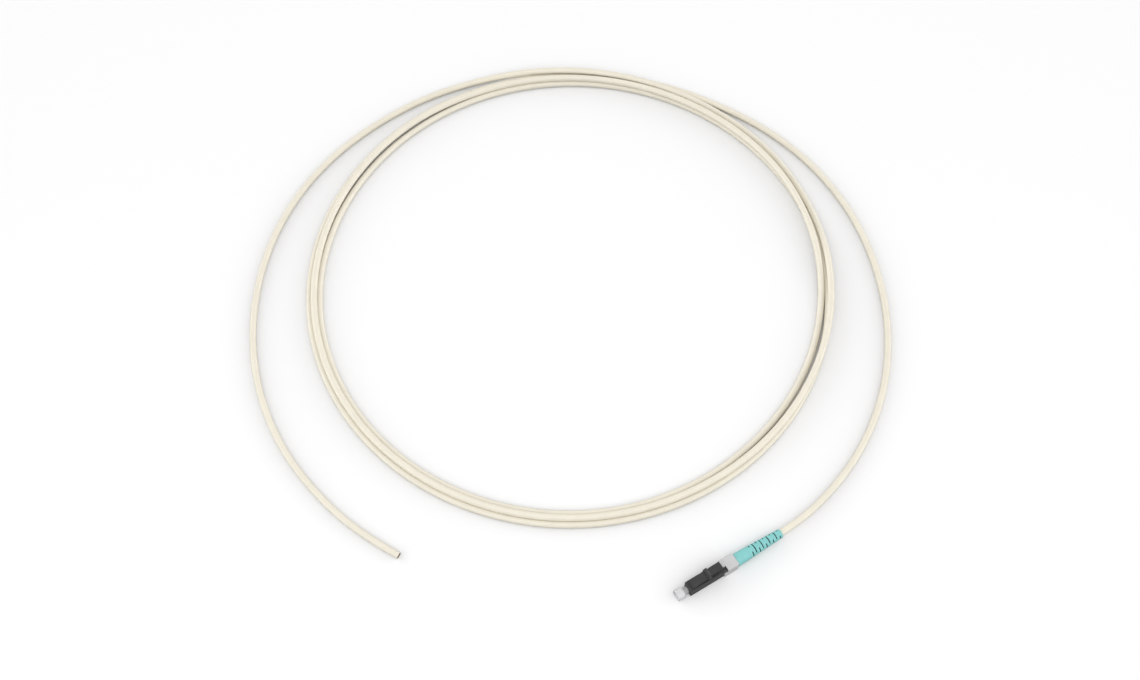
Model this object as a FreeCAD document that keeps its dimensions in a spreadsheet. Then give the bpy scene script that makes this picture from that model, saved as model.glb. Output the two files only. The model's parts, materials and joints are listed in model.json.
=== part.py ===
import FreeCAD, Part
import Sketcher
import math
import os

# Fibre pigtail: a small latched push-in plug on one end of a round simplex cable,
# three loose turns of that cable, and a bare cut end ready for splicing.
#
# Frame: +Z up, the plug lies on its underside on z = 0 and its mating face looks
# along -Y. The origin is under the middle of the plug, dust cap and boot included.
# Inside each plug piece the local frame has its origin on the ferrule axis in the
# plane of the housing's front face: X across, Y towards the boot, Z up.

Vec = FreeCAD.Vector

doc = FreeCAD.newDocument("pigtail")
sheet = doc.addObject("Spreadsheet::Sheet", "Dims")

# driving dimensions, millimetres
DIMS = [
    ("front_y", -20.6), ("axis_z", 3.0),
    # housing
    ("housing_len", 16.6), ("housing_half", 2.5), ("housing_edge", 0.3), ("nose_chamfer", 0.18),
    ("cavity_start", -0.2), ("cavity_r", 1.4), ("cavity_len", 2.5), ("bore_r", 1.75), ("bore_end", 16.8),
    ("plinth_foot", 1.35), ("plinth_front", 1.6), ("plinth_back", 2.4), ("plinth_base", 2.2),
    ("plinth_low", 3.12), ("plinth_high", 3.2), ("arm_width", 3.6),
    ("lug_in", 0.62), ("lug_mid", 1.9), ("lug_out", 2.5), ("lug_cut", 2.2), ("lug_len", 1.45),
    # latch lever, side profile
    ("arm_t_a", 2.43), ("arm_low_a", 2.58), ("arm_t_b", 9.0), ("arm_low_b", 3.36), ("arm_high_b", 4.15),
    ("sh_t_a", 8.45), ("sh_low_a", 3.3), ("sh_t_b", 10.2), ("sh_low_b", 3.58), ("sh_high_b", 5.55),
    ("sh_t_c", 8.85), ("sh_high_c", 5.35), ("sh_t_d", 8.55), ("sh_high_d", 4.1), ("sh_width", 4.6),
    ("tail_t_a", 10.1), ("tail_low_a", 4.3), ("tail_t_b", 15.9), ("tail_low_b", 5.5), ("tail_high_b", 6.4),
    ("tail_high_a", 5.85), ("tail_width", 3.2), ("latch_edge", 0.12),
    # rear body
    ("collar_len", 7.0), ("collar_half", 3.0), ("collar_edge", 0.7), ("collar_chamfer", 0.5), ("collar_front", 0.3),
    ("spigot_t", 11.0), ("spigot_r", 1.7), ("post_t", 23.2), ("post_r", 1.65), ("post_end", 29.3),
    ("through_r", 0.85), ("notch_in", 0.56), ("notch_mid", 1.84), ("notch_out", 3.4), ("notch_len", 1.55),
    # boot
    ("boot_t", 23.6), ("boot_end", 46.6), ("boot_r", 2.8), ("boot_lip_r", 2.62), ("boot_lip_t", 23.8),
    ("boot_mid_t", 28.5), ("boot_mid_r", 2.72),
    ("boot_tip_r", 1.97), ("boot_tip_t", 46.3), ("boot_mouth_r", 1.87), ("boot_bore_r", 1.7),
    ("boot_step_t", 33.9), ("boot_seat_t", 33.6), ("boot_seat_r", 2.15),
    ("slot_a_t", 32.74), ("slot_a_u", 33.2), ("slot_b_t", 31.04), ("slot_b_u", 31.5),
    ("slot_low", 1.1), ("slot_high", 3.4), ("slot_a_run", 10.45), ("slot_b_run", 13.9),
    # crimp sleeve and yarn
    ("crimp_t", 24.0), ("crimp_in_r", 1.9), ("crimp_out_r", 2.08), ("crimp_step_t", 29.4), ("crimp_neck_t", 30.0),
    ("crimp_neck_r", 1.8), ("crimp_end", 33.4), ("crimp_hold_r", 1.53),
    ("yarn_t", 24.1), ("yarn_len", 5.1), ("yarn_in_r", 1.68), ("yarn_out_r", 1.88),
    # ferrule train
    ("tip_t", -2.2), ("ferrule_r", 0.6245), ("ferrule_face_r", 0.45), ("ferrule_bevel_t", -1.95), ("ferrule_end", 4.2),
    ("fibre_hole_r", 0.064), ("fibre_cone_t", 3.7), ("fibre_cone_r", 0.3), ("fibre_r", 0.0625), ("fibre_len", 8.4),
    ("flange_t", 2.52), ("flange_r", 1.6), ("flange_bevel_r", 1.45), ("flange_bevel_t", 2.67), ("flange_back", 4.6),
    ("stem_r", 0.8), ("stem_end", 8.0), ("stem_bore_r", 0.5), ("key_half", 0.25), ("key_depth", 1.25), ("key_out", 2.0),
    ("spring_t", 4.78), ("spring_r", 1.15), ("spring_wire", 0.15), ("spring_len", 6.06), ("spring_turns", 6),
    ("tube_t", 9.6), ("tube_len", 19.4), ("tube_r", 0.8), ("tube_in_r", 0.5),
    ("buffer_t", 7.2), ("buffer_len", 22.5), ("buffer_r", 0.45),
    # dust cap
    ("cap_tip", -5.6), ("cap_rim_r", 2.5), ("cap_lip_r", 2.1), ("cap_floor_t", -4.7), ("cap_floor_r", 1.9),
    ("cap_head_t", -2.35), ("cap_head_r", 2.28), ("cap_neck_r", 1.62), ("cap_neck_t", -0.2),
    ("cap_plug_r", 1.3), ("cap_plug_t", 1.9), ("cap_bore_r", 0.65), ("cap_bore_t", -3.0), ("cap_cone_t", -3.4),
    # cable
    ("cable_r", 1.5), ("coil_x", -150.4), ("coil_y", 15.9),
    ("coil_foot_in", 112.4), ("coil_foot_out", 118.6), ("coil_in", 111.1), ("coil_out", 120.2), ("coil_mid_z", 1.5),
    ("coil_waist_in", 111.7), ("coil_waist_out", 120.1), ("coil_waist_z", 3.0),
    ("coil_hip_in", 112.8), ("coil_hip_out", 119.2), ("coil_hip_z", 5.3), ("coil_top_in", 113.6), ("coil_top_out", 118.0), ("coil_top_z", 6.0),
    ("core_r", 1.12), ("core_len", 5.0), ("core_recess", 0.25), ("core_fibre_r", 0.125),
]
VAL = {}
for row, (alias, value) in enumerate(DIMS, start=1):
    sheet.set("A%d" % row, alias)
    sheet.set("B%d" % row, "%g" % value)
    sheet.setAlias("B%d" % row, alias)
    VAL[alias] = value
doc.recompute()


def num(c):
    if isinstance(c, str):
        return -VAL[c[1:]] if c.startswith("-") else VAL[c]
    return float(c)


def cell(c):
    return "-Dims." + c[1:] if c.startswith("-") else "Dims." + c


def new_body(label):
    body = doc.addObject("PartDesign::Body", label)
    body.Label = label
    body.setExpression("Placement.Base.y", "Dims.front_y")
    body.setExpression("Placement.Base.z", "Dims.axis_z")
    return body


def plane(body, role):
    return [f for f in body.Origin.OriginFeatures if f.Role == role][0]


def new_sketch(body, name, role, offset=None):
    sk = body.newObject("Sketcher::SketchObject", name)
    sk.AttachmentSupport = [(plane(body, role), "")]
    sk.MapMode = "FlatFace"
    if offset is not None:
        sk.setExpression("AttachmentOffset.Base.z", cell(offset))
    return sk


def add_polygon(sk, points):
    first = sk.GeometryCount
    n = len(points)
    xy = [(num(a), num(b)) for a, b in points]
    for i in range(n):
        sk.addGeometry(Part.LineSegment(Vec(xy[i][0], xy[i][1], 0), Vec(xy[(i + 1) % n][0], xy[(i + 1) % n][1], 0)), False)
    for i in range(n):
        sk.addConstraint(Sketcher.Constraint("Coincident", first + i, 2, first + (i + 1) % n, 1))
    for i, point in enumerate(points):
        for kind, coord, axis in (("DistanceX", point[0], -2), ("DistanceY", point[1], -1)):
            if abs(num(coord)) < 1e-9:
                sk.addConstraint(Sketcher.Constraint("PointOnObject", first + i, 1, axis))
            else:
                k = sk.addConstraint(Sketcher.Constraint(kind, -1, 1, first + i, 1, num(coord)))
                if isinstance(coord, str):
                    sk.setExpression("Constraints[%d]" % k, cell(coord))
    return sk


def add_circle(sk, cx, cy, radius):
    g = sk.addGeometry(Part.Circle(Vec(num(cx), num(cy), 0), Vec(0, 0, 1), num(radius)), False)
    for kind, coord, axis in (("DistanceX", cx, -2), ("DistanceY", cy, -1)):
        if abs(num(coord)) < 1e-9:
            sk.addConstraint(Sketcher.Constraint("PointOnObject", g, 3, axis))
        else:
            k = sk.addConstraint(Sketcher.Constraint(kind, -1, 1, g, 3, num(coord)))
            if isinstance(coord, str):
                sk.setExpression("Constraints[%d]" % k, cell(coord))
    k = sk.addConstraint(Sketcher.Constraint("Radius", g, num(radius)))
    sk.setExpression("Constraints[%d]" % k, cell(radius))
    return sk


def add_pad(body, name, sk, length, reverse=False, symmetric=False):
    f = body.newObject("PartDesign::Pad", name)
    f.Profile = sk
    f.setExpression("Length", cell(length))
    f.Reversed = reverse
    if symmetric:
        f.SideType = "Symmetric"
    doc.recompute()
    return f


def add_cut(body, name, sk, length=None, reverse=False, symmetric=False):
    before = body.Tip.Shape.Volume
    f = body.newObject("PartDesign::Pocket", name)
    f.Profile = sk
    if length is None:
        f.Type = "ThroughAll"
    else:
        f.setExpression("Length", cell(length))
    f.Reversed = reverse
    if symmetric:
        f.SideType = "Symmetric"
    doc.recompute()
    print("cut", body.Label, name, "%.3f -> %.3f" % (before, f.Shape.Volume))
    assert f.Shape.Volume < before - 1e-4
    return f


def add_turn(body, name, sk, axis="H_Axis", groove=False):
    before = body.Tip.Shape.Volume if groove else 0.0
    f = body.newObject("PartDesign::Groove" if groove else "PartDesign::Revolution", name)
    f.Profile = sk
    f.ReferenceAxis = (sk, [axis])
    f.Angle = 360.0
    doc.recompute()
    if groove:
        print("groove", body.Label, name, "%.3f -> %.3f" % (before, f.Shape.Volume))
        assert f.Shape.Volume < before - 1e-4
    return f


def edges_where(feature, test):
    names = []
    for i, e in enumerate(feature.Shape.Edges, start=1):
        ends = [v.Point for v in e.Vertexes]
        if test(e, ends):
            names.append("Edge%d" % i)
    return names


def add_dress(body, name, kind, names, size):
    base = body.Tip
    f = body.newObject("PartDesign::" + kind, name)
    f.Base = (base, names)
    f.setExpression("Radius" if kind == "Fillet" else "Size", cell(size))
    doc.recompute()
    return f


def long_edges(e, ends):
    return len(ends) == 2 and abs(ends[0].x - ends[1].x) < 1e-6 and abs(ends[0].z - ends[1].z) < 1e-6


# --- plug housing: square moulding, stepped bore, plinth of the latch, locating lug ----------
housing = new_body("plug_housing")
sk = add_polygon(new_sketch(housing, "housing_square", "XZ_Plane"),
                 [("-housing_half", "-housing_half"), ("housing_half", "-housing_half"),
                  ("housing_half", "housing_half"), ("-housing_half", "housing_half")])
pad = add_pad(housing, "housing_pad", sk, "housing_len", reverse=True)
add_dress(housing, "housing_edges", "Fillet", edges_where(pad, long_edges), "housing_edge")
add_dress(housing, "housing_nose", "Chamfer",
          edges_where(housing.Tip, lambda e, p: len(p) == 2 and abs(p[0].y) < 1e-6 and abs(p[1].y) < 1e-6), "nose_chamfer")
sk = add_polygon(new_sketch(housing, "plinth_side", "YZ_Plane"),
                 [("plinth_foot", "plinth_base"), ("plinth_back", "plinth_base"), ("plinth_back", "plinth_high"),
                  ("plinth_front", "plinth_low"), ("plinth_foot", "housing_half")])
add_pad(housing, "plinth_pad", sk, "arm_width", symmetric=True)
sk = add_polygon(new_sketch(housing, "lug_corner", "XZ_Plane", "-housing_len"),
                 [("lug_in", "lug_out"), ("lug_in", "lug_mid"), ("lug_mid", "lug_in"), ("lug_out", "lug_in"),
                  ("lug_out", "lug_cut"), ("lug_cut", "lug_out")])
add_pad(housing, "lug_pad", sk, "lug_len", reverse=True)
sk = add_polygon(new_sketch(housing, "bore_profile", "YZ_Plane"),
                 [("cavity_start", 0), ("cavity_start", "cavity_r"), ("cavity_len", "cavity_r"), ("cavity_len", "bore_r"),
                  ("bore_end", "bore_r"), ("bore_end", 0)])
add_turn(housing, "bore_groove", sk, groove=True)

# --- latch lever: arm, shoulders that catch in the mating port, narrower thumb tail ----------
latch = new_body("latch_lever")
sk = add_polygon(new_sketch(latch, "arm_side", "YZ_Plane"),
                 [("arm_t_a", "arm_low_a"), ("arm_t_b", "arm_low_b"), ("arm_t_b", "arm_high_b"), ("arm_t_a", "plinth_high")])
add_pad(latch, "arm_pad", sk, "arm_width", symmetric=True)
sk = add_polygon(new_sketch(latch, "tail_side", "YZ_Plane"),
                 [("sh_t_a", "sh_low_a"), ("tail_t_a", "tail_low_a"), ("tail_t_b", "tail_low_b"), ("tail_t_b", "tail_high_b"),
                  ("tail_t_a", "tail_high_a"), ("sh_t_d", "arm_high_b")])
add_pad(latch, "tail_pad", sk, "tail_width", symmetric=True)
sk = add_polygon(new_sketch(latch, "shoulder_side", "YZ_Plane"),
                 [("sh_t_a", "sh_low_a"), ("sh_t_b", "sh_low_b"), ("sh_t_b", "sh_high_b"), ("sh_t_c", "sh_high_c"), ("sh_t_d", "sh_high_d")])
add_pad(latch, "shoulder_pad", sk, "sh_width", symmetric=True)


def tail_tip(e, p):
    return len(p) == 2 and min(p[0].y, p[1].y) > VAL["tail_t_b"] - 1e-6


add_dress(latch, "tail_round", "Fillet", edges_where(latch.Tip, tail_tip), "latch_edge")

# --- rear body: white collar, spigot in the housing, ribbed crimp post -----------------------
rear = new_body("rear_body")
sk = add_polygon(new_sketch(rear, "collar_square", "XZ_Plane", "-housing_len"),
                 [("-collar_half", "-collar_half"), ("collar_half", "-collar_half"),
                  ("collar_half", "collar_half"), ("-collar_half", "collar_half")])
pad = add_pad(rear, "collar_pad", sk, "collar_len", reverse=True)
add_dress(rear, "collar_edges", "Fillet", edges_where(pad, long_edges), "collar_edge")
back_y = VAL["housing_len"] + VAL["collar_len"]
add_dress(rear, "collar_back", "Chamfer",
          edges_where(rear.Tip, lambda e, p: len(p) == 2 and abs(p[0].y - back_y) < 1e-6 and abs(p[1].y - back_y) < 1e-6), "collar_chamfer")
add_dress(rear, "collar_lip", "Chamfer",
          edges_where(rear.Tip, lambda e, p: len(p) == 2 and abs(p[0].y - VAL["housing_len"]) < 1e-6 and abs(p[1].y - VAL["housing_len"]) < 1e-6), "collar_front")
sk = add_polygon(new_sketch(rear, "notch_corner", "XZ_Plane", "-housing_len"),
                 [("notch_in", "notch_out"), ("notch_in", "notch_mid"), ("notch_mid", "notch_in"), ("notch_out", "notch_in"), ("notch_out", "notch_out")])
add_cut(rear, "notch_cut", sk, "notch_len")
ribs = [("spigot_t", "through_r"), ("spigot_t", 1.5), (11.2, "spigot_r"), (17.5, "spigot_r"), ("post_t", "spigot_r"), (23.9, "post_r")]
for k in range(5):
    ribs += [(24.3 + k, "post_r"), (24.5 + k, 1.5), (24.9 + k, 1.5), (25.05 + k, "post_r")]
ribs += [("post_end", 1.55), ("post_end", "through_r")]
sk = add_polygon(new_sketch(rear, "post_profile", "YZ_Plane"), ribs)
add_turn(rear, "post_turn", sk)
sk = add_polygon(new_sketch(rear, "through_profile", "YZ_Plane"),
                 [(10.5, 0), (10.5, "through_r"), (29.8, "through_r"), (29.8, 0)])
add_turn(rear, "through_groove", sk, groove=True)

# --- boot: tapered sleeve with slots through its wall, top and sides staggered ---------------
boot = new_body("boot")
sk = add_polygon(new_sketch(boot, "boot_profile", "YZ_Plane"),
                 [("boot_t", "boot_seat_r"), ("boot_t", "boot_lip_r"), ("boot_lip_t", "boot_r"), ("boot_mid_t", "boot_mid_r"), ("boot_tip_t", "boot_tip_r"),
                  ("boot_end", "boot_mouth_r"), ("boot_end", "boot_bore_r"), ("boot_step_t", "boot_bore_r"), ("boot_seat_t", "boot_seat_r")])
add_turn(boot, "boot_turn", sk)


def add_slots(name, role, t0, t1, run, count, direction):
    sk_slot = new_sketch(boot, name, role)
    for sign in ("", "-"):
        low, high = sign + "slot_low", sign + "slot_high"
        if role == "YZ_Plane":
            add_polygon(sk_slot, [(t0, low), (t1, low), (t1, high), (t0, high)])
        else:
            add_polygon(sk_slot, [(low, t0), (high, t0), (high, t1), (low, t1)])
    cut = add_cut(boot, name + "_cut", sk_slot, symmetric=True)
    before = cut.Shape.Volume
    pattern = boot.newObject("PartDesign::LinearPattern", name + "_row")
    pattern.Originals = [cut]
    pattern.Direction = (sk_slot, [direction])
    pattern.setExpression("Length", cell(run))
    pattern.Occurrences = count
    boot.Tip = pattern
    doc.recompute()
    print("slots", name, "%.3f -> %.3f" % (before, pattern.Shape.Volume))
    assert pattern.Shape.Volume < before - 1e-4


add_slots("slots_top", "YZ_Plane", "slot_a_t", "slot_a_u", "slot_a_run", 4, "H_Axis")
add_slots("slots_side", "XY_Plane", "slot_b_t", "slot_b_u", "slot_b_run", 5, "V_Axis")

# --- crimp sleeve: stepped tube over the yarn and over the end of the jacket -----------------
crimp = new_body("crimp_sleeve")
sk = add_polygon(new_sketch(crimp, "crimp_profile", "YZ_Plane"),
                 [("crimp_t", "crimp_in_r"), ("crimp_t", "crimp_out_r"), ("crimp_step_t", "crimp_out_r"), ("crimp_neck_t", "crimp_neck_r"),
                  ("crimp_end", "crimp_neck_r"), ("crimp_end", "crimp_hold_r"), (29.6, "crimp_hold_r"), (29.3, "crimp_in_r")])
add_turn(crimp, "crimp_turn", sk)


# --- ferrule train -------------------------------------------------------------------------
ferrule = new_body("ferrule")
sk = add_polygon(new_sketch(ferrule, "ferrule_profile", "YZ_Plane"),
                 [("tip_t", "fibre_hole_r"), ("tip_t", "ferrule_face_r"), ("ferrule_bevel_t", "ferrule_r"), ("ferrule_end", "ferrule_r"),
                  ("ferrule_end", "fibre_cone_r"), ("fibre_cone_t", "fibre_hole_r")])
add_turn(ferrule, "ferrule_turn", sk)

flange = new_body("ferrule_flange")
sk = add_polygon(new_sketch(flange, "flange_profile", "YZ_Plane"),
                 [("flange_t", "ferrule_r"), ("flange_t", "flange_bevel_r"), ("flange_bevel_t", "flange_r"), ("flange_back", "flange_r"),
                  ("flange_back", 0.95), (4.75, "stem_r"), ("stem_end", "stem_r"), ("stem_end", "stem_bore_r"),
                  (4.3, "stem_bore_r"), ("ferrule_end", "ferrule_r")])
add_turn(flange, "flange_turn", sk)
sk = add_polygon(new_sketch(flange, "key_slot", "XZ_Plane"),
                 [("-key_half", "key_depth"), ("key_half", "key_depth"), ("key_half", "key_out"), ("-key_half", "key_out")])
key = add_cut(flange, "key_cut", sk, "flange_back")
keys = flange.newObject("PartDesign::PolarPattern", "key_ring")
keys.Originals = [key]
keys.Axis = (plane(flange, "Y_Axis"), [""])
keys.Angle = 360.0
keys.Occurrences = 4
flange.Tip = keys
doc.recompute()

spring = new_body("ferrule_spring")
sk = add_circle(new_sketch(spring, "wire_section", "YZ_Plane"), "spring_t", "spring_r", "spring_wire")
doc.recompute()
helix = spring.newObject("PartDesign::AdditiveHelix", "spring_helix")
helix.Profile = sk
helix.ReferenceAxis = (sk, ["H_Axis"])
helix.Mode = "height-turns-angle"
helix.setExpression("Height", "Dims.spring_len")
helix.setExpression("Turns", "Dims.spring_turns")
doc.recompute()


# straight round pieces on the plug's axis
def on_axis(obj, t):
    obj.Placement = FreeCAD.Placement(Vec(0, VAL["front_y"] + VAL[t], VAL["axis_z"]), FreeCAD.Rotation(Vec(1, 0, 0), -90))
    obj.setExpression("Placement.Base.y", "Dims.front_y + Dims." + t)
    obj.setExpression("Placement.Base.z", "Dims.axis_z")


def rod(label, radius, length):
    c = doc.addObject("Part::Cylinder", label)
    c.Label = label
    c.setExpression("Radius", cell(radius))
    c.setExpression("Height", cell(length))
    return c


def pipe(label, outer, inner, length):
    a = rod(label + "_outside", outer, length)
    b = rod(label + "_inside", inner, length)
    c = doc.addObject("Part::Cut", label)
    c.Label = label
    c.Base = a
    c.Tool = b
    return c


fibre = rod("bare_fibre", "fibre_r", "fibre_len")
on_axis(fibre, "tip_t")
buffer_rod = rod("tight_buffer", "buffer_r", "buffer_len")
on_axis(buffer_rod, "buffer_t")
tube = pipe("guide_tube", "tube_r", "tube_in_r", "tube_len")
on_axis(tube, "tube_t")
yarn = pipe("aramid_yarn", "yarn_out_r", "yarn_in_r", "yarn_len")
on_axis(yarn, "yarn_t")

# --- dust cap: flared cup head, neck, and a plug that sits around the ferrule ----------------
cap = new_body("dust_cap")
sk = add_polygon(new_sketch(cap, "cap_profile", "YZ_Plane"),
                 [("cap_floor_t", 0), ("cap_floor_t", "cap_floor_r"), ("cap_tip", "cap_lip_r"), ("cap_tip", "cap_rim_r"),
                  ("cap_head_t", "cap_head_r"), ("cap_head_t", "cap_neck_r"), ("cap_neck_t", "cap_neck_r"), ("cap_neck_t", "cap_plug_r"),
                  ("cap_plug_t", "cap_plug_r"), ("cap_plug_t", "cap_bore_r"), ("cap_bore_t", "cap_bore_r"), ("cap_cone_t", 0)])
add_turn(cap, "cap_turn", sk)

# --- cable ---------------------------------------------------------------------------------
# The lead runs from the crimp through the boot, out over the surface and up to the coil.
LEAD = [
    (0, 9.1, 3), (0, 28.2, 3), (-1.9, 47.4, 2.4), (-11, 74.4, 1.65), (-26.1, 98.4, 1.5),
    (-45, 117.4, 1.5), (-67.8, 132.4, 1.5), (-93, 142.8, 1.5), (-119.6, 148.1, 1.5), (-146.8, 147.67, 1.5),
    (-173.21, 141.22, 1.5), (-197.84, 129.56, 1.5), (-220.37, 114.42, 1.5),
]
# The tail leaves the last turn and ends in the bare cut.
TAIL = [
    (-248.06, 83.55, 4.89), (-262.06, 61.03, 3.83), (-271.93, 35.92, 1.64), (-275.88, 9.04, 1.78), (-274.55, -18.09, 1.5),
    (-268.58, -44.58, 1.55), (-257.03, -69.33, 1.5), (-240.43, -90.83, 1.51), (-219.82, -108.55, 1.5), (-196.09, -121.99, 1.5),
    (-170.4, -130.41, 1.5), (-143, -133.21, 1.5), (-115.4, -129.8, 1.5), (-92.2, -122.6, 1.5), (-75.63, -113.78, 1.5),
]


def cord_path(name, points):
    pts = [Vec(*p) for p in points]
    edges = []
    radii = []
    here = pts[0]
    for a, b, c in zip(pts[:-2], pts[1:-1], pts[2:]):
        u = (b - a).normalize()
        w = (c - b).normalize()
        turn = math.acos(max(-1.0, min(1.0, u.dot(w))))
        cut = 0.45 * min((b - a).Length, (c - b).Length)
        radius = cut / math.tan(turn / 2)
        radii.append(radius)
        start = b - u * cut
        end = b + w * cut
        mid = b + (w - u).normalize() * (radius * (1 / math.cos(turn / 2) - 1))
        edges.append(Part.LineSegment(here, start).toShape())
        edges.append(Part.Arc(start, mid, end).toShape())
        here = end
    edges.append(Part.LineSegment(here, pts[-1]).toShape())
    print(name, "radii", " ".join("%.0f" % r for r in radii))
    return Part.Wire(edges)


def cord_solid(name, points, radius):
    path = cord_path(name, points)
    section = Part.Wire(Part.makeCircle(radius, Vec(*points[0]), (Vec(*points[1]) - Vec(*points[0])).normalize()))
    solid = path.makePipeShell([section], True, False)
    want = math.pi * radius * radius * path.Length
    print(name, "length %.1f" % path.Length, "volume %.2f" % solid.Volume, "section times length %.2f" % want)
    assert abs(solid.Volume - want) < 0.01 * want
    return solid


lead = doc.addObject("Part::Feature", "cable_lead")
lead.Label = "cable_lead"
lead.Shape = cord_solid("cable_lead", LEAD, VAL["cable_r"])
lead.Placement = FreeCAD.Placement()

# the cut end shows what is inside the jacket: yarn, buffer and fibre, sunk a little behind the cut
end = Vec(*TAIL[-1])
out = (end - Vec(*TAIL[-2])).normalize()
end_place = FreeCAD.Placement(end - out * (VAL["core_len"] + VAL["core_recess"]), FreeCAD.Rotation(Vec(0, 0, 1), out))
print("cut end", tuple(round(v, 4) for v in end), "direction", tuple(round(v, 5) for v in out))
hollow = Part.makeCylinder(VAL["core_r"], VAL["core_len"] + 1)
hollow.Placement = end_place
tail = doc.addObject("Part::Feature", "cable_tail")
tail.Label = "cable_tail"
tail.Shape = cord_solid("cable_tail", TAIL, VAL["cable_r"]).cut(hollow)
tail.Placement = FreeCAD.Placement()

cut_yarn = pipe("cut_yarn", "core_r", "buffer_r", "core_len")
cut_yarn.Placement = end_place
cut_buffer = pipe("cut_buffer", "buffer_r", "core_fibre_r", "core_len")
cut_buffer.Placement = end_place
cut_fibre = rod("cut_fibre", "core_fibre_r", "core_len")
cut_fibre.Placement = end_place

# the three loose turns, as the outer shape of their bundle
coil = doc.addObject("PartDesign::Body", "cable_coil")
coil.Label = "cable_coil"
coil.setExpression("Placement.Base.x", "Dims.coil_x")
coil.setExpression("Placement.Base.y", "Dims.coil_y")
sk = add_polygon(new_sketch(coil, "bundle_section", "XZ_Plane"),
                 [("coil_foot_in", 0), ("coil_foot_out", 0), ("coil_out", "coil_mid_z"), ("coil_waist_out", "coil_waist_z"),
                  ("coil_hip_out", "coil_hip_z"), ("coil_top_out", "coil_top_z"), ("coil_top_in", "coil_top_z"), ("coil_hip_in", "coil_hip_z"),
                  ("coil_waist_in", "coil_waist_z"), ("coil_in", "coil_mid_z")])
add_turn(coil, "bundle_turn", sk, axis="V_Axis")

# --- checks and files ------------------------------------------------------------------------
doc.recompute()
for obj in doc.Objects:
    if "Invalid" in obj.State or "Error" in obj.State:
        raise RuntimeError("object failed: %s %s" % (obj.Name, obj.State))

pieces = [housing, latch, rear, boot, crimp, ferrule, flange, spring, fibre, buffer_rod, tube, yarn, cap,
          lead, coil, tail, cut_yarn, cut_buffer, cut_fibre]
for piece in pieces:
    shape = piece.Shape
    if shape.isNull() or not shape.isValid():
        raise RuntimeError("bad shape: " + piece.Label)
    box = shape.BoundBox
    print("%-15s solids %d volume %9.3f  x %.2f..%.2f  y %.2f..%.2f  z %.2f..%.2f" % (
        piece.Label, len(shape.Solids), shape.Volume, box.XMin, box.XMax, box.YMin, box.YMax, box.ZMin, box.ZMax))

os.makedirs("parts", exist_ok=True)
for piece in pieces:
    piece.Shape.exportStep(os.path.join("parts", piece.Label + ".step"))
print("wrote", len(pieces), "pieces")
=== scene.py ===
import bpy, bmesh, json, math, random
from mathutils import Vector, Matrix


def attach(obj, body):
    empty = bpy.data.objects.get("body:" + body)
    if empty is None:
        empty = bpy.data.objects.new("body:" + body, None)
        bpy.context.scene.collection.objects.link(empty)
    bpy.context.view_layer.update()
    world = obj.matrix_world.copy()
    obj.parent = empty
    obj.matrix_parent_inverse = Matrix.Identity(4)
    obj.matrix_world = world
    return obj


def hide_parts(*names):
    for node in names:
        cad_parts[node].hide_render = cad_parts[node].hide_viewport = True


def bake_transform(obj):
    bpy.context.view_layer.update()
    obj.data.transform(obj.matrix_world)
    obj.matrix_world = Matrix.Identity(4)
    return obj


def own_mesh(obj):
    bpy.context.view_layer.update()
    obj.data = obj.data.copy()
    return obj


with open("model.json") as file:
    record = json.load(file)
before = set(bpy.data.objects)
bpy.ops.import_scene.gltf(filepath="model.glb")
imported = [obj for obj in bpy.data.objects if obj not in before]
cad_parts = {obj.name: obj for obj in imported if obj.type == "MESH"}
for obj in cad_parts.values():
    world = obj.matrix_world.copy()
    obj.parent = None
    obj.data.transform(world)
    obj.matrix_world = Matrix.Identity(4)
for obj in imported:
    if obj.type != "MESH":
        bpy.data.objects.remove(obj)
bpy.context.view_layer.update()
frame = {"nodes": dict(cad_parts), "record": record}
nodes = frame["nodes"]
scene = bpy.context.scene

# ------------------------------------------------------------------ camera
# Seen from above the near side, with the plug's tip towards the lower middle of the picture.
cam_data = bpy.data.cameras.new("camera")
cam_data.lens = 50.0
cam_data.sensor_width = 36.0
cam_data.sensor_fit = "HORIZONTAL"
cam_data.clip_start = 0.01
cam_data.clip_end = 20.0
camera = bpy.data.objects.new("camera", cam_data)
scene.collection.objects.link(camera)
look = Vector((-0.40813, 0.25306, -0.87715)).normalized()
right = Vector((0.52696, 0.84989, 0.0)).normalized()
up = right.cross(look).normalized()
rot = Matrix((right, up, -look)).transposed()
camera.matrix_world = Matrix.Translation((0.16295, -0.17824, 0.6201)) @ rot.to_4x4()
scene.camera = camera


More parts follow.
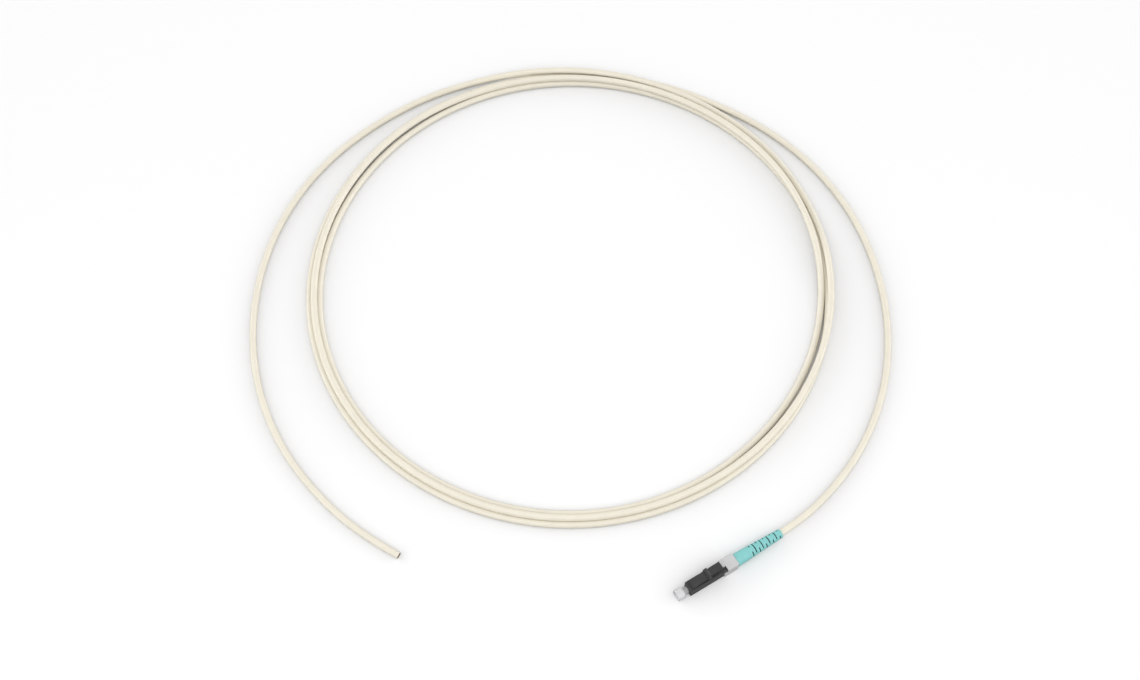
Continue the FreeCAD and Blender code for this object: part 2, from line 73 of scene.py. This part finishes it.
# ------------------------------------------------------------------ material helpers
def material(name, color, rough, grain_scale, grain_depth, grain_strength=0.35, vary=0.05, rough_vary=0.08,
             metallic=0.0, specular=0.5, coat=0.0, detail=4.0, vary_scale=None, stretch=(1, 1, 1), seam=None,
             bands=None, hollow=None, **sockets):
    """A moulded, extruded or turned surface: slow mottling of the colour, and a grain that moves gloss and relief.

    seam is (axis, place, half width, height) of a fine mould parting line; bands is a list of
    (gates, colour) that shifts the colour along a piece, each gate an (axis, from, to) in metres;
    hollow is (start, start radius, end, end radius, colour) of a tapered sleeve along Y on the plug's axis, whose
    slots get painted shade: the colour darkens towards the inside of each slot.
    """
    m = bpy.data.materials.new(name)
    m.use_nodes = True
    n, l = m.node_tree.nodes, m.node_tree.links
    bsdf = n["Principled BSDF"]
    bsdf.inputs["Metallic"].default_value = metallic
    bsdf.inputs["Specular IOR Level"].default_value = specular
    bsdf.inputs["Coat Weight"].default_value = coat
    for key, value in sockets.items():
        bsdf.inputs[key.replace("_", " ")].default_value = value
    co = n.new("ShaderNodeTexCoord")
    mp = n.new("ShaderNodeMapping")
    mp.inputs["Scale"].default_value = stretch
    l.new(co.outputs["Object"], mp.inputs["Vector"])
    xyz = n.new("ShaderNodeSeparateXYZ")
    l.new(co.outputs["Object"], xyz.inputs["Vector"])

    def ramp_of(c):
        r = n.new("ShaderNodeValToRGB")
        r.color_ramp.elements[0].position = 0.3
        r.color_ramp.elements[1].position = 0.7
        r.color_ramp.elements[0].color = (*[max(0.0, v * (1 - vary)) for v in c], 1)
        r.color_ramp.elements[1].color = (*[min(1.0, v * (1 + vary)) for v in c], 1)
        return r

    def window(axis, start, end):
        w = n.new("ShaderNodeMapRange")
        w.inputs["From Min"].default_value = start
        w.inputs["From Max"].default_value = end
        l.new(xyz.outputs[axis], w.inputs["Value"])
        return w.outputs["Result"]

    mottle = n.new("ShaderNodeTexNoise")
    mottle.inputs["Scale"].default_value = vary_scale or grain_scale * 0.08
    mottle.inputs["Detail"].default_value = 3.0
    l.new(mp.outputs["Vector"], mottle.inputs["Vector"])
    base = ramp_of(color)
    l.new(mottle.outputs["Fac"], base.inputs["Fac"])
    colour = base.outputs["Color"]
    for gates, c in bands or []:
        other = ramp_of(c)
        l.new(mottle.outputs["Fac"], other.inputs["Fac"])
        fac = None
        for axis, start, end in gates:
            w = window(axis, start, end)
            if fac is None:
                fac = w
            else:
                both = n.new("ShaderNodeMath")
                both.operation = "MULTIPLY"
                l.new(fac, both.inputs[0])
                l.new(w, both.inputs[1])
                fac = both.outputs["Value"]
        mix = n.new("ShaderNodeMix")
        mix.data_type = "RGBA"
        l.new(fac, mix.inputs["Factor"])
        l.new(colour, mix.inputs["A"])
        l.new(other.outputs["Color"], mix.inputs["B"])
        colour = mix.outputs["Result"]
    if hollow:
        y0, r0, y1, r1, c = hollow
        inner = ramp_of(c)
        l.new(mottle.outputs["Fac"], inner.inputs["Fac"])
        flat = n.new("ShaderNodeVectorMath")
        flat.operation = "MULTIPLY_ADD"
        l.new(co.outputs["Object"], flat.inputs[0])
        flat.inputs[1].default_value = (1.0, 0.0, 1.0)
        flat.inputs[2].default_value = (0.0, 0.0, -0.003)
        depth = n.new("ShaderNodeVectorMath")
        depth.operation = "LENGTH"
        l.new(flat.outputs["Vector"], depth.inputs[0])
        outside = n.new("ShaderNodeMapRange")
        for key, v in (("From Min", y0), ("From Max", y1), ("To Min", r0), ("To Max", r1)):
            outside.inputs[key].default_value = v
        l.new(xyz.outputs["Y"], outside.inputs["Value"])
        below = n.new("ShaderNodeMath")
        below.operation = "SUBTRACT"
        l.new(outside.outputs["Result"], below.inputs[0])
        l.new(depth.outputs["Value"], below.inputs[1])
        # painted shade: the deeper the surface lies inside the sleeve's slots, the darker its colour
        painted_slot_shade = n.new("ShaderNodeMapRange")
        painted_slot_shade.interpolation_type = "SMOOTHSTEP"
        painted_slot_shade.inputs["From Min"].default_value = 0.00006
        painted_slot_shade.inputs["From Max"].default_value = 0.00022
        l.new(below.outputs["Value"], painted_slot_shade.inputs["Value"])
        # the painted slot shade stays off the sleeve's own end
        along = n.new("ShaderNodeMath")
        along.operation = "MULTIPLY"
        l.new(painted_slot_shade.outputs["Result"], along.inputs[0])
        l.new(window("Y", y1 - 0.0003, y1 - 0.0006), along.inputs[1])
        mix = n.new("ShaderNodeMix")
        mix.data_type = "RGBA"
        l.new(along.outputs["Value"], mix.inputs["Factor"])
        l.new(colour, mix.inputs["A"])
        l.new(inner.outputs["Color"], mix.inputs["B"])
        colour = mix.outputs["Result"]
    l.new(colour, bsdf.inputs["Base Color"])

    grain = n.new("ShaderNodeTexNoise")
    grain.inputs["Scale"].default_value = grain_scale
    grain.inputs["Detail"].default_value = detail
    grain.inputs["Roughness"].default_value = 0.6
    l.new(mp.outputs["Vector"], grain.inputs["Vector"])
    gloss = n.new("ShaderNodeMapRange")
    gloss.inputs["From Min"].default_value = 0.3
    gloss.inputs["From Max"].default_value = 0.7
    gloss.inputs["To Min"].default_value = max(0.02, rough - rough_vary)
    gloss.inputs["To Max"].default_value = min(1.0, rough + rough_vary)
    l.new(grain.outputs["Fac"], gloss.inputs["Value"])
    l.new(gloss.outputs["Result"], bsdf.inputs["Roughness"])
    bump = n.new("ShaderNodeBump")
    bump.inputs["Strength"].default_value = grain_strength
    bump.inputs["Distance"].default_value = grain_depth
    l.new(grain.outputs["Fac"], bump.inputs["Height"])
    normal = bump
    if seam:
        axis, place, half, height = seam
        off = n.new("ShaderNodeMath")
        off.operation = "SUBTRACT"
        l.new(xyz.outputs[axis], off.inputs[0])
        off.inputs[1].default_value = place
        size = n.new("ShaderNodeMath")
        size.operation = "ABSOLUTE"
        l.new(off.outputs["Value"], size.inputs[0])
        ridge = n.new("ShaderNodeMapRange")
        ridge.interpolation_type = "SMOOTHSTEP"
        ridge.inputs["From Min"].default_value = 0.0
        ridge.inputs["From Max"].default_value = half
        ridge.inputs["To Min"].default_value = 1.0
        ridge.inputs["To Max"].default_value = 0.0
        l.new(size.outputs["Value"], ridge.inputs["Value"])
        line = n.new("ShaderNodeBump")
        line.inputs["Strength"].default_value = 1.0
        line.inputs["Distance"].default_value = height
        l.new(ridge.outputs["Result"], line.inputs["Height"])
        l.new(bump.outputs["Normal"], line.inputs["Normal"])
        normal = line
    l.new(normal.outputs["Normal"], bsdf.inputs["Normal"])
    return m


MAT = {
    "black_plastic": material("black_plastic", (0.031, 0.031, 0.032), 0.40, 9000, 0.00002, 0.4, vary=0.12, specular=0.5,
                              seam=("Z", 0.0012, 0.00005, 0.00002)),
    "white_plastic": material("white_plastic", (0.55, 0.545, 0.55), 0.40, 7000, 0.000015, 0.3, vary=0.02,
                              seam=("Z", 0.0030, 0.00005, 0.00002)),
    # painted shade: the boot's slots darken towards the inside with the hollow's dark teal colour
    "boot_rubber": material("boot_rubber", (0.215, 0.55, 0.54), 0.52, 8000, 0.00002, 0.4, vary=0.04,
                            seam=("Z", 0.0030, 0.00006, 0.00002),
                            hollow=(0.0079, 0.00272, 0.0257, 0.00197, (0.022, 0.055, 0.054))),
    # clear-grey moulding: the thick head scatters the light; the thin neck, where the dark plug would show through,
    # gets a darker band of painted shade
    "cap_plastic": material("cap_plastic", (0.60, 0.605, 0.61), 0.30, 1500, 0.000003, 0.15, vary=0.012, rough_vary=0.04, coat=0.2,
                            bands=[([("Y", -0.0233, -0.0224)], (0.36, 0.36, 0.365))]),
    # painted shade: the stretch inside the boot, which sits in the boot's shade, is coloured a dark teal
    "jacket": material("jacket", (0.77, 0.723, 0.613), 0.42, 2600, 0.00003, 0.2, vary=0.02, vary_scale=160,
                       bands=[([("X", -0.006, -0.005), ("Y", 0.0259, 0.0254)], (0.02, 0.045, 0.044))]),
    "zirconia": material("zirconia", (0.86, 0.85, 0.80), 0.16, 9000, 0.000005, 0.2, vary=0.01, coat=0.3),
    "plated_metal": material("plated_metal", (0.66, 0.63, 0.58), 0.28, 5000, 0.00001, 0.3, vary=0.05, metallic=1.0, stretch=(1, 8, 1)),
    "spring_steel": material("spring_steel", (0.56, 0.56, 0.56), 0.3, 7000, 0.00001, 0.3, vary=0.08, metallic=1.0),
    "fibre_glass": material("fibre_glass", (0.92, 0.95, 0.95), 0.08, 9000, 0.000002, 0.1, vary=0.01, Transmission_Weight=0.8, IOR=1.46),
    "tube_plastic": material("tube_plastic", (0.82, 0.82, 0.80), 0.35, 5000, 0.00001, 0.3, vary=0.02),
    # the knife's cut across the jacket: rough, and coloured darker than the extruded skin as painted shade on the cut
    # face
    "jacket_cut_shaded": material("jacket_cut_shaded", (0.47, 0.425, 0.345), 0.85, 9000, 0.00004, 0.6, vary=0.12),
    "buffer_plastic": material("buffer_plastic", (0.80, 0.80, 0.75), 0.4, 5000, 0.00001, 0.3, vary=0.03),
    # painted shade: the yarn is coloured far darker than the golden aramid, for the shade inside the cut
    "yarn": material("yarn", (0.17, 0.115, 0.048), 0.7, 16000, 0.00004, 0.8, vary=0.35),
    # painted shade: the sleeve's neck, seen through the boot's slots, is coloured a dark teal for the boot's shade on
    # it
    "crimp_metal": material("crimp_metal", (0.62, 0.62, 0.61), 0.35, 4000, 0.00002, 0.4, vary=0.08, metallic=1.0,
                            bands=[([("Y", 0.0090, 0.0098)], (0.035, 0.05, 0.05))]),
}
slot_of = {s["node"]: s["material_slot"] for s in frame["record"]["subparts"]}
for name, obj in nodes.items():
    obj.data.materials.clear()
    obj.data.materials.append(MAT[slot_of[name]])


# ------------------------------------------------------------------ moulded edges
def round_edges(node, width, segments=2, angle=32, clamp=True):
    """Breaks the sharp edges of a moulded piece by a small radius."""
    o = nodes[node]
    weld = o.modifiers.new("weld", "WELD")
    weld.merge_threshold = 0.000002
    flat = o.modifiers.new("flat_faces", "DECIMATE")
    flat.decimate_type = "DISSOLVE"
    flat.angle_limit = math.radians(0.4)
    edge = o.modifiers.new("edge", "BEVEL")
    edge.width = width
    edge.segments = segments
    edge.limit_method = "ANGLE"
    edge.angle_limit = math.radians(angle)
    edge.use_clamp_overlap = clamp
    edge.miter_outer = "MITER_ARC"
    tidy = o.modifiers.new("tidy", "WELD")
    tidy.merge_threshold = 0.0000015
    smooth = o.modifiers.new("normals", "WEIGHTED_NORMAL")
    smooth.weight = 60
    smooth.keep_sharp = False


round_edges("plug_housing", 0.00007)
round_edges("latch_lever", 0.00005, clamp=False)
round_edges("rear_body", 0.00010)
round_edges("boot", 0.00006)
round_edges("dust_cap", 0.00014, 3)

# ------------------------------------------------------------------ cable
LEAD = [
    (0, 9.1, 3), (0, 19.6, 3), (0, 29.6, 3), (-1.9, 47.4, 2.4), (-11, 74.4, 1.65),
    (-26.1, 98.4, 1.5), (-45, 117.4, 1.5), (-67.8, 132.4, 1.5), (-93, 142.8, 1.5), (-119.6, 148.1, 1.5),
    (-146.8, 147.67, 1.5), (-173.21, 141.22, 1.5), (-197.84, 129.56, 1.5), (-220.37, 114.42, 1.5),
]
TURNS = [
    (-239.94, 95.3, 1.5), (-254.78, 72.32, 1.5), (-264.41, 46.82, 1.5), (-268.34, 19.99, 1.5), (-266.14, -7.15, 1.5), (-257.97, -33, 1.5),
    (-244.18, -56.33, 1.5), (-225.4, -75.97, 1.5), (-202.62, -90.74, 1.5), (-177.08, -99.85, 1.5), (-150.11, -102.93, 1.5), (-123.17, -99.81, 1.5),
    (-97.54, -90.64, 1.5), (-74.67, -75.84, 1.5), (-55.8, -56.29, 1.5), (-41.83, -32.78, 1.5), (-33.69, -6.74, 1.5), (-31.72, 20.41, 1.5),
    (-36.05, 47.34, 1.5), (-46.4, 72.6, 1.5), (-62.35, 94.85, 1.5), (-83.09, 112.4, 1.5), (-107.32, 124.73, 1.5), (-133.5, 131.09, 1.5),
    (-160.47, 131.17, 1.5), (-186.72, 125.07, 1.5), (-210.94, 113.15, 1.5), (-231.88, 95.8, 1.5), (-248.24, 73.96, 1.5), (-259.03, 49.03, 1.5),
    (-263.63, 22.27, 1.5), (-261.82, -4.83, 1.5), (-253.74, -30.77, 1.5), (-239.86, -54.12, 1.5), (-220.8, -73.73, 1.5), (-197.5, -88.13, 1.5),
    (-171.33, -96.37, 1.5), (-143.96, -98.13, 1.5), (-116.93, -93.29, 1.5), (-91.8, -82.15, 1.5), (-70.03, -65.28, 1.5), (-53.02, -43.68, 1.5),
    (-41.75, -18.58, 1.5), (-37.03, 8.47, 1.5), (-38.84, 35.79, 1.51), (-46.76, 61.95, 1.5), (-60.3, 85.63, 1.58), (-79.11, 105.51, 1.52),
    (-101.92, 120.26, 3.97), (-127.69, 129.25, 4.35), (-154.82, 131.48, 4.56), (-181.62, 126.79, 4.5), (-206.49, 116.02, 4.52), (-228.32, 100.15, 4.46),
    (-246.01, 79.78, 4.3), (-258.65, 55.89, 3.93), (-265.4, 29.6, 3.43), (-265.8, 2.4, 4.04), (-259.62, -24.22, 3.92), (-247.31, -48.45, 3.79),
    (-229.74, -69.23, 3.57), (-207.81, -85.4, 3.44), (-182.71, -96.02, 3.43), (-155.81, -100.49, 3.41), (-128.56, -98.57, 3.37), (-102.54, -90.38, 3.35),
    (-79.07, -76.34, 3.33), (-59.54, -57.18, 3.3), (-45.08, -33.98, 3.22), (-36.4, -8.1, 3.29), (-33.81, 19.01, 3.63), (-37.23, 45.94, 4.14),
    (-46.68, 71.46, 4.42), (-61.64, 94.11, 4.59), (-81.43, 112.74, 4.31), (-104.93, 126.24, 3.7), (-130.78, 134.11, 1.5), (-157.85, 135.8, 1.79),
    (-184.42, 130.7, 1.56), (-209.02, 119.41, 2.79), (-230.41, 103.27, 4.4),
]
TAIL = [
    (-248.06, 83.55, 4.89), (-262.06, 61.03, 3.83), (-271.93, 35.92, 1.64), (-275.88, 9.04, 1.78), (-274.55, -18.09, 1.5),
    (-268.58, -44.58, 1.55), (-257.03, -69.33, 1.5), (-240.43, -90.83, 1.51), (-219.82, -108.55, 1.5), (-196.09, -121.99, 1.5),
    (-170.4, -130.41, 1.5), (-143, -133.21, 1.5), (-115.4, -129.8, 1.5), (-92.2, -122.6, 1.5), (-75.63, -113.78, 1.5),
]
ROUTE = LEAD + TURNS + TAIL
CABLE_R = 0.0015

curve = bpy.data.curves.new("cable", "CURVE")
curve.dimensions = "3D"
spline = curve.splines.new("NURBS")
spline.points.add(len(ROUTE) - 1)
for point, (x, y, z) in zip(spline.points, ROUTE):
    point.co = (x / 1000, y / 1000, z / 1000, 1.0)
spline.order_u = 3
spline.use_endpoint_u = True
spline.resolution_u = 12
curve.resolution_u = 12
curve.bevel_depth = CABLE_R
curve.bevel_resolution = 14
curve.twist_mode = "Z_UP"
cable = bpy.data.objects.new("cable", curve)
scene.collection.objects.link(cable)
curve.materials.append(MAT["jacket"])
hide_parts("cable_lead", "cable_coil", "cable_tail")
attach(cable, "plug")

# ------------------------------------------------------------------ the bare cut end
tip = Vector(TAIL[-1]) / 1000
out = (Vector(TAIL[-1]) - Vector(TAIL[-2])).normalized()
side = out.cross(Vector((0, 0, 1))).normalized()
top = side.cross(out)


def at_end(r, angle, s):
    return tip + side * (r * math.cos(angle)) + top * (r * math.sin(angle)) + out * s


def piece(name, bm, slot, look=None):
    mesh = bpy.data.meshes.new(name)
    bmesh.ops.recalc_face_normals(bm, faces=bm.faces)
    bm.to_mesh(mesh)
    bm.free()
    for p in mesh.polygons:
        p.use_smooth = True
    o = bpy.data.objects.new(name, mesh)
    scene.collection.objects.link(o)
    mesh.materials.append(MAT[look or slot])
    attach(o, "plug")
    return o


rng = random.Random(7)
# wall of the jacket at the cut: a ring with a slightly ragged face
CORE_R = 0.00112
bm = bmesh.new()
rings = []
profile = [(CORE_R, -0.0030), (0.001460, -0.0030), (0.001460, -0.00014), (0.001488, -0.00003), (0.001470, 0.000008),
           (0.001300, 0.000012), (CORE_R + 0.00004, 0.000006), (CORE_R, -0.00005)]
steps = 64
for k in range(steps):
    a = 2 * math.pi * k / steps
    rings.append([bm.verts.new(at_end(r, a, s + (rng.uniform(-0.000012, 0.000006) if s > 0 else 0.0))) for r, s in profile])
for k in range(steps):
    a, b = rings[k], rings[(k + 1) % steps]
    for j in range(len(profile)):
        i = (j + 1) % len(profile)
        bm.faces.new((a[j], a[i], b[i], b[j]))
jacket_end = piece("jacket_end", bm, "jacket", "jacket_cut_shaded")

# yarn: bundled filament ends, cut a little unevenly, around the buffered fibre
bm = bmesh.new()
fil_r = 0.000062
for ring_r, count in ((0.00053, 26), (0.00066, 33), (0.00079, 39), (0.00092, 46), (0.00104, 52)):
    for k in range(count):
        a = 2 * math.pi * (k + rng.uniform(-0.2, 0.2)) / count
        r = ring_r + rng.uniform(-0.000012, 0.000008)
        s1 = -rng.uniform(0.00010, 0.00050)
        lean = rng.uniform(-0.00003, 0.00003)
        c0 = (r, a, -0.0030)
        loops = []
        for s, f in ((-0.0030, 1.0), (s1 - 0.00004, 1.0), (s1, 0.72)):
            centre = at_end(r, a + (lean / r) * (s + 0.003) / 0.003, s)
            u = (centre - (tip + out * s)).normalized()
            v = out.cross(u)
            loops.append([bm.verts.new(centre + u * (fil_r * f * math.cos(q * math.pi / 3)) + v * (fil_r * f * math.sin(q * math.pi / 3))) for q in range(6)])
        for lo, hi in zip(loops[:-1], loops[1:]):
            for q in range(6):
                bm.faces.new((lo[q], lo[(q + 1) % 6], hi[(q + 1) % 6], hi[q]))
        bm.faces.new(loops[-1])
        bm.faces.new(list(reversed(loops[0])))
yarn_ends = piece("yarn_ends", bm, "yarn")
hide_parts("cut_yarn")

# ------------------------------------------------------------------ pieces that give when the plug is used
# The latch is moulded with the housing and bends at its root, so its first millimetres are cut into narrow strips
# across it.
bpy.context.view_layer.update()
lever = nodes["latch_lever"]
mesh = bpy.data.meshes.new_from_object(lever.evaluated_get(bpy.context.evaluated_depsgraph_get()))
bm = bmesh.new()
bm.from_mesh(mesh)
bm.transform(lever.matrix_world)
bmesh.ops.remove_doubles(bm, verts=bm.verts[:], dist=0.000006)
for k in range(1, 16):
    bmesh.ops.bisect_plane(bm, geom=bm.verts[:] + bm.edges[:] + bm.faces[:], dist=1e-7,
                           plane_co=(0, -0.01817 + 0.0001 * k, 0), plane_no=(0, 1, 0))
bm.to_mesh(mesh)
bm.free()
mesh.name = "latch_arm"
mesh.materials.clear()
mesh.materials.append(MAT["black_plastic"])
latch_arm = bpy.data.objects.new("latch_arm", mesh)
scene.collection.objects.link(latch_arm)
smooth = latch_arm.modifiers.new("normals", "WEIGHTED_NORMAL")
smooth.weight = 60
smooth.keep_sharp = False
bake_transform(latch_arm)
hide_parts("latch_lever")

# The spring is pressed together as the ferrule moves back, its rear end staying where it is; here it is only copied
# into a piece of its own.
coil_mesh = nodes["ferrule_spring"].data.copy()
float_spring = bpy.data.objects.new("float_spring", coil_mesh)
scene.collection.objects.link(float_spring)
float_spring.matrix_world = nodes["ferrule_spring"].matrix_world.copy()
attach(float_spring, "plug")
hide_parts("ferrule_spring")
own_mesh(float_spring)

# ------------------------------------------------------------------ floor and light
bm = bmesh.new()
bmesh.ops.create_grid(bm, x_segments=1, y_segments=1, size=3.0)
floor_mesh = bpy.data.meshes.new("floor")
bm.to_mesh(floor_mesh)
bm.free()
floor = bpy.data.objects.new("floor", floor_mesh)
scene.collection.objects.link(floor)
# a white sweep: it looks white, and throws only part of that light back up at the object
fm = bpy.data.materials.new("floor")
fm.use_nodes = True
fn, fl = fm.node_tree.nodes, fm.node_tree.links
fn.remove(fn["Principled BSDF"])
seen = fn.new("ShaderNodeBsdfDiffuse")
seen.inputs["Color"].default_value = (0.88, 0.88, 0.883, 1)
bounced = fn.new("ShaderNodeBsdfDiffuse")
bounced.inputs["Color"].default_value = (0.36, 0.36, 0.36, 1)
path = fn.new("ShaderNodeLightPath")
pick = fn.new("ShaderNodeMixShader")
fl.new(path.outputs["Is Camera Ray"], pick.inputs["Fac"])
fl.new(bounced.outputs["BSDF"], pick.inputs[1])
fl.new(seen.outputs["BSDF"], pick.inputs[2])
fl.new(pick.outputs["Shader"], fn["Material Output"].inputs["Surface"])
floor_mesh.materials.append(fm)

LOW = [(0.0, 0.95), (0.3, 0.95), (0.5, 0.7), (0.7, 0.0)]
HIGH = [(0.45, 0.0), (0.68, 0.5), (0.9, 0.6), (1.0, 0.35)]
LIGHT = 3.08
# a white room: two wide soft walls of light to the left and right of the picture, low down, a softer fill from
# above and in front, and little from behind
world = bpy.data.worlds.new("world")
world.use_nodes = True
wn, wl = world.node_tree.nodes, world.node_tree.links
w_dir = wn.new("ShaderNodeTexCoord").outputs["Generated"]
w_xyz = wn.new("ShaderNodeSeparateXYZ")
wl.new(w_dir, w_xyz.inputs["Vector"])


def towards(x, y):
    d = wn.new("ShaderNodeVectorMath")
    d.operation = "DOT_PRODUCT"
    wl.new(w_dir, d.inputs[0])
    d.inputs[1].default_value = (x, y, 0.0)
    return d.outputs["Value"]


def maths(operation, a, b, c=None):
    d = wn.new("ShaderNodeMath")
    d.operation = operation
    for k, v in enumerate((a, b, c)):
        if v is None:
            continue
        if isinstance(v, float):
            d.inputs[k].default_value = v
        else:
            wl.new(v, d.inputs[k])
    return d.outputs["Value"]


def by_height(levels):
    r = wn.new("ShaderNodeValToRGB")
    ends = r.color_ramp.elements
    for e, (place, level) in zip(ends, (levels[0], levels[-1])):
        e.position = place
        e.color = (level, level, level, 1)
    for place, level in levels[1:-1]:
        e = ends.new(place)
        e.color = (level, level, level, 1)
    wl.new(w_xyz.outputs["Z"], r.inputs["Fac"])
    return r.outputs["Color"]


across = towards(0.52696, 0.84989)
near = towards(0.84989, -0.52696)
across2 = maths("MULTIPLY", across, across)
walls = maths("MULTIPLY_ADD", near, -0.12, maths("MULTIPLY_ADD", across2, 0.78, 0.22))
fill = maths("MULTIPLY_ADD", near, 0.45, maths("MULTIPLY_ADD", across2, 0.2, 0.5))
low = maths("MULTIPLY", walls, by_height(LOW))
high = maths("MULTIPLY", fill, by_height(HIGH))
wl.new(maths("ADD", low, high), wn["Background"].inputs["Color"])
wn["Background"].inputs["Strength"].default_value = LIGHT
scene.world = world

# a round soft lamp on the near side, which lifts the near half of the floor to white
lamp_data = bpy.data.lights.new("front_soft", "AREA")
lamp_data.shape = "DISK"
lamp_data.size = 0.4
lamp_data.energy = 0.5
lamp = bpy.data.objects.new("front_soft", lamp_data)
scene.collection.objects.link(lamp)
lamp.location = (0.20, -0.20, 0.55)
lamp.rotation_euler = (Vector((-0.06, -0.04, 0.0)) - lamp.location).to_track_quat("-Z", "Y").to_euler()

scene.view_settings.view_transform = "Standard"
